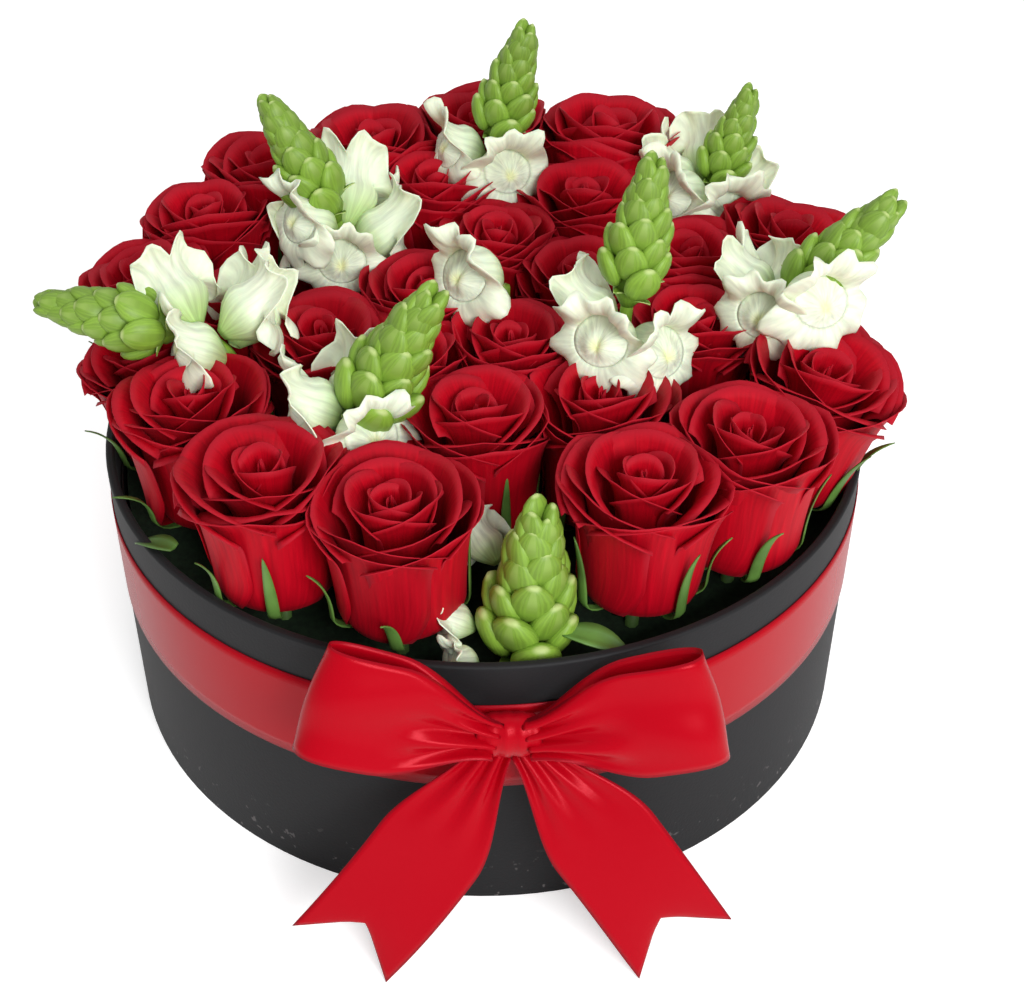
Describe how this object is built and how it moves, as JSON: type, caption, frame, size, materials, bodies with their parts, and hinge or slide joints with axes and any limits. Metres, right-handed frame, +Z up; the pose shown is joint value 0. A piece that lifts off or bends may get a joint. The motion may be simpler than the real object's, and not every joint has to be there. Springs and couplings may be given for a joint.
{
  "type": "flower box",
  "caption": "Round matt black gift box with a red satin bow, packed with red roses and white snapdragons set in foam that lifts out with its liner.",
  "frame": {"origin": "centre of the box's underside, where it rests on the table", "axes": "+Z up along the box's axis, the bow at the front on -Y, +X to the right seen from the front"},
  "size_m": [0.3124, 0.3382, 0.2461],
  "materials": {
    "board": "matt charcoal paper over rolled board, faintly scuffed",
    "ribbon": "double-faced satin, bright red, with a soft sheen across the weave",
    "rose_petal": "velvety deep red petal, paler at the rolled edges",
    "stem": "smooth green stem, hip and sepals",
    "bud": "closed green buds with a soft waxy bloom",
    "floret": "thin white petals, pale green at the throat",
    "liner": "thin black waterproof cup",
    "foam": "soaked green floral foam, weighing about what water does"
  },
  "bodies": {
    "box": {"box_wall": "board", "box_base": "board", "ribbon_band": "ribbon", "bow_knot": "ribbon", "bow_loop_left": "ribbon", "bow_loop_right": "ribbon", "bow_tail_left": "ribbon", "bow_tail_right": "ribbon"},
    "arrangement": {"liner": "liner", "foam": "foam", "rose_stems": "stem", "rose_01": "rose_petal", "rose_02": "rose_petal", "rose_03": "rose_petal", "rose_04": "rose_petal", "rose_05": "rose_petal", "rose_06": "rose_petal", "rose_07": "rose_petal", "rose_08": "rose_petal", "rose_09": "rose_petal", "rose_10": "rose_petal", "rose_11": "rose_petal", "rose_12": "rose_petal", "rose_13": "rose_petal", "rose_14": "rose_petal", "rose_15": "rose_petal", "rose_16": "rose_petal", "rose_17": "rose_petal", "rose_18": "rose_petal", "rose_19": "rose_petal", "rose_20": "rose_petal", "rose_21": "rose_petal", "rose_22": "rose_petal", "rose_23": "rose_petal", "rose_24": "rose_petal", "rose_25": "rose_petal", "rose_26": "rose_petal", "rose_27": "rose_petal", "rose_28": "rose_petal", "snapdragon_1_spike": "bud", "snapdragon_2_spike": "bud", "snapdragon_3_spike": "bud", "snapdragon_4_spike": "bud", "snapdragon_5_spike": "bud", "snapdragon_6_spike": "bud", "snapdragon_7_spike": "bud", "snapdragon_8_spike": "bud", "snapdragon_1_florets": "floret", "snapdragon_2_florets": "floret", "snapdragon_3_florets": "floret", "snapdragon_4_florets": "floret", "snapdragon_5_florets": "floret", "snapdragon_6_florets": "floret", "snapdragon_7_florets": "floret", "snapdragon_9_floret": "floret"}
  },
  "joints": [
    {"name": "arrangement_lift", "type": "slide", "parent": "box", "child": "arrangement", "axis": [0, 0, 1], "range_m": [0, 0.15]}
  ]
}
